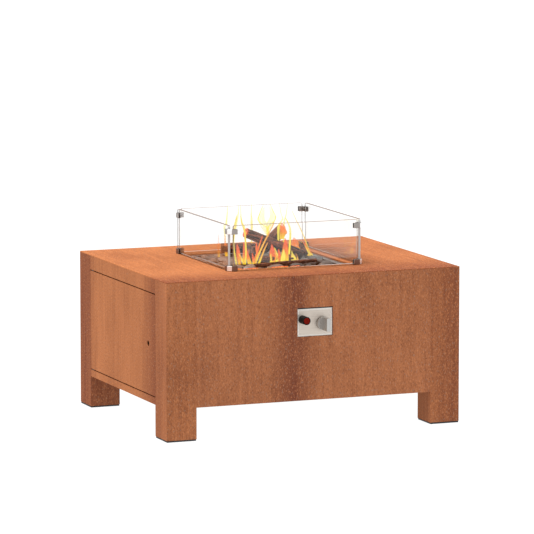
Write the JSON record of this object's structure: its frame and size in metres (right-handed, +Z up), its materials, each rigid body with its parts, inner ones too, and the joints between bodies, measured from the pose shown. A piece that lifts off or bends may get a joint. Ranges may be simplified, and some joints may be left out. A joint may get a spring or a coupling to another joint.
{
  "type": "gas fire table",
  "caption": "Weathering steel gas fire table with a side door, a burner tray with grate, stones and ceramic logs, a control panel and a lift-off glass guard.",
  "frame": {"origin": "centre of the footprint on the floor, with the knob counted in the footprint", "axes": "+X along the length to the right, +Y to the back, +Z up; the control panel faces -Y and the door -X"},
  "size_m": [1, 0.848, 0.651],
  "materials": {
    "corten": "weathered rust, matt",
    "foot_rubber": "matt",
    "hinge_steel": "satin",
    "magnet_black": "matt",
    "galvanised": "galvanised spangle, satin",
    "stainless": "brushed, heat tinted",
    "brass": "machined",
    "grate_iron": "matt black, heat proof",
    "stones": "smooth pebbles",
    "charred_log": "moulded bark, charred",
    "white_ceramic": "glazed",
    "control_steel": "brushed",
    "bracket_black": "matt",
    "igniter_black": "satin",
    "button_red": "gloss",
    "knob_metal": "satin chrome",
    "copper": "drawn tube",
    "glass": "clear, polished edges",
    "clip_polished": "polished",
    "flame": "glowing gas flame",
    "ember": "glowing ember"
  },
  "bodies": {
    "table": {"top_plate": "corten", "front_panel": "corten", "back_panel": "corten", "right_panel": "corten", "left_top_rail": "corten", "left_bottom_rail": "corten", "leg_front_left": "corten", "leg_front_right": "corten", "leg_back_left": "corten", "leg_back_right": "corten", "foot_front_left": "foot_rubber", "foot_front_right": "foot_rubber", "foot_back_left": "foot_rubber", "foot_back_right": "foot_rubber", "door_magnet": "magnet_black", "bottom_shelf": "galvanised", "tray_ledge": "galvanised", "burner_tray": "stainless", "heat_shield": "galvanised", "burner_ring": "stainless", "burner_feed": "stainless", "air_mixer": "stainless", "gas_injector": "brass", "grate": "grate_iron", "stones": "stones", "log_front": "charred_log", "log_upright": "charred_log", "log_back": "charred_log", "log_short": "charred_log", "log_low": "charred_log", "log_branch": "charred_log", "log_chip": "charred_log", "spark_electrode": "white_ceramic", "electrode_bracket": "stainless", "thermocouple": "brass", "control_plate": "control_steel", "control_bracket": "bracket_black", "control_screws": "hinge_steel", "igniter_barrel": "igniter_black", "igniter_nut": "hinge_steel", "gas_valve": "brass", "burner_pipe": "copper", "gas_inlet": "brass"},
    "door": {"side_door": "corten", "door_hinge_pins": "hinge_steel"},
    "guard": {"glass_front": "glass", "glass_back": "glass", "glass_left": "glass", "glass_right": "glass", "guard_base_clips": "clip_polished", "guard_top_clips": "clip_polished", "clip_screws": "clip_polished", "clip_pads": "foot_rubber", "guard_feet": "foot_rubber"},
    "igniter_push": {"igniter_button": "button_red"},
    "valve_push": {"push_collar": "hinge_steel"},
    "knob": {"control_knob": "knob_metal", "valve_stem": "hinge_steel"}
  },
  "joints": [
    {"name": "door_hinge", "type": "hinge", "parent": "table", "child": "door", "pos_m": [-0.4945, 0.3075, 0.292], "axis": [0, 0, -1], "range_deg": [0, 105]},
    {"name": "guard_lift", "type": "slide", "parent": "table", "child": "guard", "axis": [0, 0, 1], "range_m": [0, 0.25]},
    {"name": "igniter_press", "type": "slide", "parent": "table", "child": "igniter_push", "axis": [0, 1, 0], "range_m": [0, 0.004], "stiffness_N_per_m": 500, "springref_m": -0.004},
    {"name": "valve_press", "type": "slide", "parent": "table", "child": "valve_push", "axis": [0, 1, 0], "range_m": [0, 0.003], "stiffness_N_per_m": 800, "springref_m": -0.005},
    {"name": "knob_turn", "type": "hinge", "parent": "valve_push", "child": "knob", "pos_m": [0.028, -0.396, 0.349], "axis": [0, -1, 0], "range_deg": [0, 180]}
  ]
}
